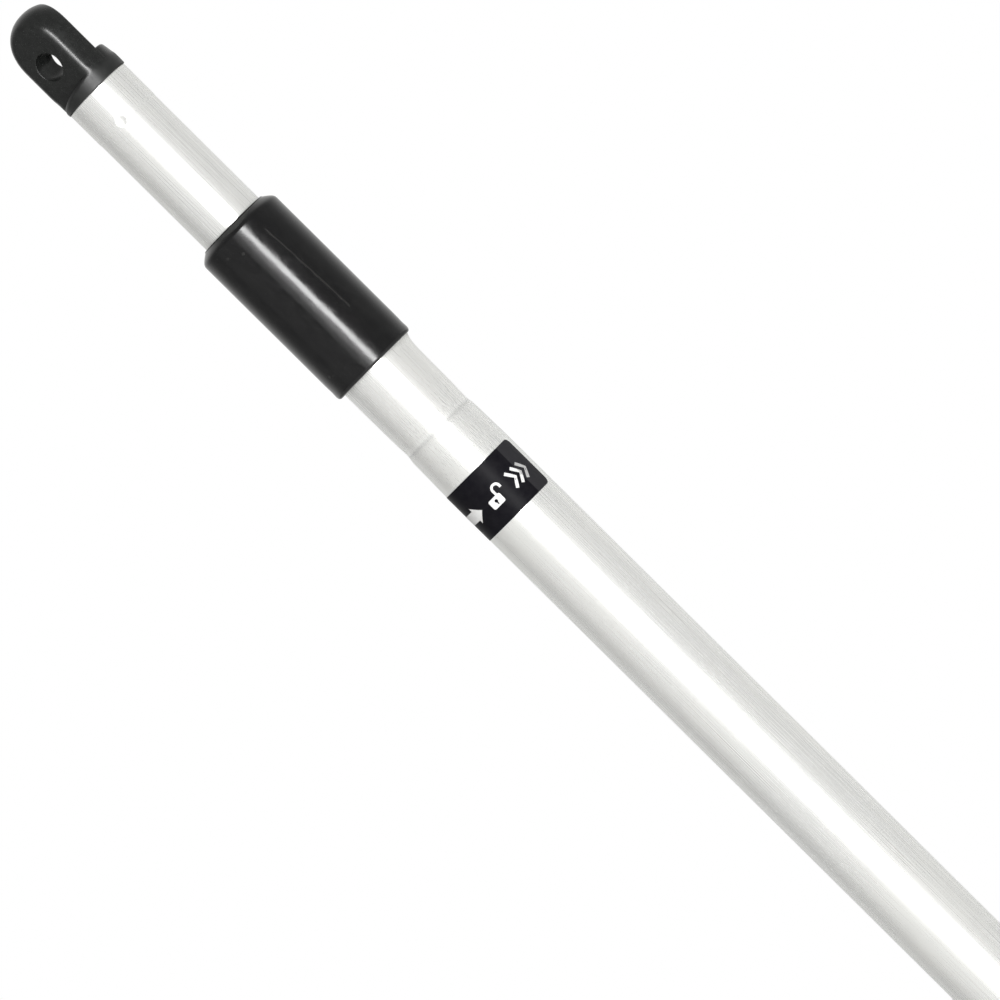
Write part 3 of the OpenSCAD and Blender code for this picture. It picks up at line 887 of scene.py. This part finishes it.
def label():
    c = 2.2
    q = [c - c * math.cos(math.radians(a)) for a in np.linspace(0, 90, 12)]
    us = q + list(np.linspace(c, LABEL_W - c, 90))[1:-1] + [LABEL_W - x for x in q[::-1]]
    rise = []
    for u in us:
        e = min(u, LABEL_W - u)
        rise.append(c - math.sqrt(max(0.0, c * c - (c - e) ** 2)) if e < c else 0.0)
    rise = np.array(rise)
    v, f = film("label", us, LABEL_LOW + rise, LABEL_TOP - rise, R_OUT + 0.005, R_OUT + 0.13, 6)
    ob = make_mesh("label_film", v, f, 40)
    place(ob, M_LABEL, "outer", "label", "label_film")
    parts_v, parts_f = [], []

    def add(v, f):
        base = sum(len(p) for p in parts_v)
        parts_v.append(v)
        parts_f.extend([tuple(i + base for i in face) for face in f])

    r0, r1 = R_OUT + 0.12, R_OUT + 0.165

    def shape(us, lo, hi):
        add(*film("", us, lo, hi, r0, r1, 2))

    def arrow(u0, way, length=13.0, half=3.4, head=4.35, shaft=2.05):
        """An arrow whose tip is length away from its tail, pointing way round the tube."""
        us = list(np.linspace(0, length - head, 14)) + list(np.linspace(length - head + 0.01, length, 12))
        hh = [shaft if u <= length - head else half * (length - u) / head + 0.02 for u in us]
        us = [u0 + way * u for u in us]
        if way < 0:
            us, hh = us[::-1], hh[::-1]
        mid = LABEL_MID - 1.05
        shape(us, [mid - q for q in hh], [mid + q for q in hh])

    def ribbon(path, w):
        """A flat strip of width w along points (u, z)."""
        p = np.asarray(path, float)
        t = np.gradient(p, axis=0)
        t /= np.linalg.norm(t, axis=1)[:, None]
        nrm = np.stack([-t[:, 1], t[:, 0]], 1)
        a, b = p + nrm * w / 2, p - nrm * w / 2
        top = np.concatenate([wrap(a[:, 0], a[:, 1], r1), wrap(b[:, 0], b[:, 1], r1)])
        bot = np.concatenate([wrap(a[:, 0], a[:, 1], r0), wrap(b[:, 0], b[:, 1], r0)])
        n = len(p)
        f = []
        for i in range(n - 1):
            f.append((i, n + i, n + i + 1, i + 1))
            f.append((2 * n + i, 2 * n + i + 1, 3 * n + i + 1, 3 * n + i))
            f.append((i, i + 1, 2 * n + i + 1, 2 * n + i))
            f.append((n + i, 3 * n + i, 3 * n + i + 1, n + i + 1))
        f.append((0, 2 * n, 3 * n, n))
        f.append((n - 1, 2 * n - 1, 4 * n - 1, 3 * n - 1))
        add(np.concatenate([top, bot]), f)

    keys_v, keys_f = [], []

    def padlock(uc, shut):
        """A padlock: a rounded body and a shackle, lifted and turned aside when open."""
        z0 = LABEL_MID - 4.4
        w, h, c = 5.4, 3.7, 0.7
        us = np.unique(np.concatenate([np.linspace(0, c, 6), np.linspace(c, w - c, 8), np.linspace(w - c, w, 6)]))
        e = np.minimum(us, w - us)
        rise = np.where(e < c, c - np.sqrt(np.maximum(0, c * c - (c - e) ** 2)), 0)
        shape(uc - w / 2 + us, z0 + rise, z0 + h - rise)
        s = 1.5
        lift = 0.0 if shut else 0.55
        a = np.linspace(0, 180, 18)
        cx = uc if shut else uc + 2 * s - 0.02
        zt = z0 + h + 1.05 + lift
        path = [(cx + s, z0 + h - (0.15 if shut else -0.85))] + \
               [(cx + s * math.cos(math.radians(q)), zt + s * math.sin(math.radians(q))) for q in a] + \
               [(cx - s, z0 + h - 0.15)]
        ribbon(path, 0.9)
        # its keyhole
        kz, kr = z0 + h * 0.56, 0.62
        ku = np.concatenate([kr * np.cos(np.radians(np.linspace(180, 115, 6))),
                             np.linspace(-0.24, 0.24, 4), kr * np.cos(np.radians(np.linspace(65, 0, 6)))])
        up = np.sqrt(np.maximum(kr * kr - ku ** 2, 0)) + 0.01
        down = np.where(np.abs(ku) < 0.25, 1.35, up)
        v, f = film("", uc + ku, kz - down, kz + up, r1 - 0.01, r1 + 0.02, 2)
        base = sum(len(q) for q in keys_v)
        keys_v.append(v)
        keys_f.extend([tuple(i + base for i in face) for face in f])

    def chevrons(u0, way, count=3):
        for k in range(count):
            base = u0 + way * k * 2.9
            tip = base + way * 2.3
            m = LABEL_MID - 1.05
            ribbon([(base, m + 3.3), (base + way * 1.15, m + 1.65), (tip, m),
                    (base + way * 1.15, m - 1.65), (base, m - 3.3)], 1.2)

    # u of the direction that the front of the pole faces in the shop picture
    face = LABEL_W - math.radians(LABEL_RIGHT + 47.0) * R_OUT
    arrow(face - 10.16 - 13.0, 1)
    padlock(face - 3.8, False)
    chevrons(face + 4.6, 1)
    # the arrow runs from the closed lock to the open one
    padlock(6.7, True)
    ob = make_mesh("label_keyholes", np.concatenate(keys_v), keys_f, 40)
    place(ob, M_LABEL, "outer", None, "label_film")
    v = np.concatenate(parts_v)
    ob = make_mesh("label_ink", v, parts_f, 40)
    import bmesh
    bm = bmesh.new()
    bm.from_mesh(ob.data)
    bmesh.ops.recalc_face_normals(bm, faces=bm.faces)
    bm.to_mesh(ob.data)
    bm.free()
    place(ob, M_INK, "outer", None, "label_film")


outer_tube()
inner_tube()
grip_sleeve()
hang_cap()
threaded_tip()
rivets()
label()

for name, mat in (("guide_bush", M_LINER), ("glide_ring", M_NYLON), ("cam_ring", M_NYLON),
                  ("cam_plug", M_PLUG), ("cam_washer", M_ZINC), ("cam_screw", M_ZINC)):
    dress(frame["nodes"][name], mat)

# -------------------------------------------------------------- camera and set

AZ = 43.0        # the camera's azimuth round the pole
EL = 0.5         # and its height above the aim, very slightly down on the pole
DIST = 3.05
AIM_Z = 0.9043   # height of the point on the pole that the frame's centre meets
az, el = math.radians(AZ), math.radians(EL)
toward = Vector((math.sin(az) * math.cos(el), -math.cos(az) * math.cos(el), math.sin(el)))
right0 = Vector((math.cos(az), math.sin(az), 0))
up0 = toward.cross(right0)
# the pole runs from the upper left to the lower right of the frame
ca, sa = 0.7104, 0.7038
right = right0 * sa - up0 * ca
up = right0 * ca + up0 * sa
aim = Vector((0, 0, AIM_Z)) - right0 * 0.0027
cam = bpy.data.cameras.new("camera")
cam.sensor_width = 36
cam.lens = 319.3
cam.clip_end = 50
cam_ob = bpy.data.objects.new("camera", cam)
bpy.context.scene.collection.objects.link(cam_ob)
loc = aim + toward * DIST
cam_ob.matrix_world = Matrix((
    (right.x, up.x, toward.x, loc.x), (right.y, up.y, toward.y, loc.y),
    (right.z, up.z, toward.z, loc.z), (0, 0, 0, 1)))
bpy.context.scene.camera = cam_ob


def panel(name, azimuth, dist, wide, tall, z, radiance, color=(1, 1, 1)):
    """A soft box that faces the pole from an azimuth counted from the camera's."""
    a = az + math.radians(azimuth)
    d = Vector((math.sin(a), -math.cos(a), 0))
    li = bpy.data.lights.new(name, "AREA")
    li.shape = "RECTANGLE"
    li.size, li.size_y = wide, tall
    li.energy = radiance * math.pi * wide * tall
    li.color = color
    ob = bpy.data.objects.new(name, li)
    bpy.context.scene.collection.objects.link(ob)
    rt = Vector((math.cos(a), math.sin(a), 0))
    p = d * dist + Vector((0, 0, z))
    ob.matrix_world = Matrix(((rt.x, 0, d.x, p.x), (rt.y, 0, d.y, p.y), (0, 1, 0, p.z), (0, 0, 0, 1)))
    ob.visible_camera = False
    return ob


panel("key_strip", 9.5, 1.6, 0.33, 2.6, 0.75, 19.0)
panel("key_tail", -1.5, 1.65, 0.40, 2.6, 0.75, 2.0)
panel("key_glow", -8.0, 1.8, 0.85, 2.6, 0.75, 0.82)
panel("side_panel", 95.0, 1.2, 0.85, 2.4, 0.7, 0.07)
panel("fill_panel", -54.0, 1.5, 1.45, 2.6, 0.75, 0.135)

world = bpy.data.worlds.new("world")
bpy.context.scene.world = world
world.use_nodes = True
wt = world.node_tree
wt.nodes.clear()
out = wt.nodes.new("ShaderNodeOutputWorld")
mixs = wt.nodes.new("ShaderNodeMixShader")
lp = wt.nodes.new("ShaderNodeLightPath")
seen = wt.nodes.new("ShaderNodeBackground")
seen.inputs["Color"].default_value = (1, 1, 1, 1)
seen.inputs["Strength"].default_value = 1.0
amb = wt.nodes.new("ShaderNodeBackground")
co = wt.nodes.new("ShaderNodeTexCoord")
dot = wt.nodes.new("ShaderNodeVectorMath")
dot.operation = "DOT_PRODUCT"
tw = az + math.radians(-5)       # the far side is a little off the camera's own axis
dot.inputs[1].default_value = (-math.sin(tw), math.cos(tw), 0)
wt.links.new(co.outputs["Generated"], dot.inputs[0])
ramp = wt.nodes.new("ShaderNodeMapRange")
ramp.interpolation_type = "SMOOTHSTEP"
for k, x in (("From Min", 0.2), ("From Max", 0.8), ("To Min", 0.30), ("To Max", 0.80)):
    ramp.inputs[k].default_value = x
wt.links.new(dot.outputs["Value"], ramp.inputs["Value"])
amb.inputs["Color"].default_value = (1, 1, 0.99, 1)
wt.links.new(ramp.outputs["Result"], amb.inputs["Strength"])
wt.links.new(lp.outputs["Is Camera Ray"], mixs.inputs[0])
wt.links.new(amb.outputs[0], mixs.inputs[1])
wt.links.new(seen.outputs[0], mixs.inputs[2])
wt.links.new(mixs.outputs[0], out.inputs["Surface"])

floor = bpy.data.meshes.new("floor")
s, fz = 6.0, TIP_LOW * MM - 0.0005
floor.from_pydata([(-s, -s, fz), (s, -s, fz), (s, s, fz), (-s, s, fz)], [], [(0, 1, 2, 3)])
floor_ob = bpy.data.objects.new("floor", floor)
bpy.context.scene.collection.objects.link(floor_ob)
fm = bpy.data.materials.new("floor")
fm.use_nodes = True
fb = fm.node_tree.nodes["Principled BSDF"]
fb.inputs["Base Color"].default_value = (0.82, 0.82, 0.81, 1)
fb.inputs["Roughness"].default_value = 0.85
floor.materials.append(fm)
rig.stage(floor_ob)

sc = bpy.context.scene
sc.view_settings.view_transform = "Standard"
sc.view_settings.look = "None"
sc.view_settings.exposure = 0.0
sc.view_settings.gamma = 1.0


def plain(b):
    return [[round(float(c), 6) for c in p] for p in b]


bpy.context.view_layer.update()
try:
    json.dump({"cad": plain(cad_bounds), "visual": plain(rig.bounds())}, open("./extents.json", "w"))
except OSError:
    pass
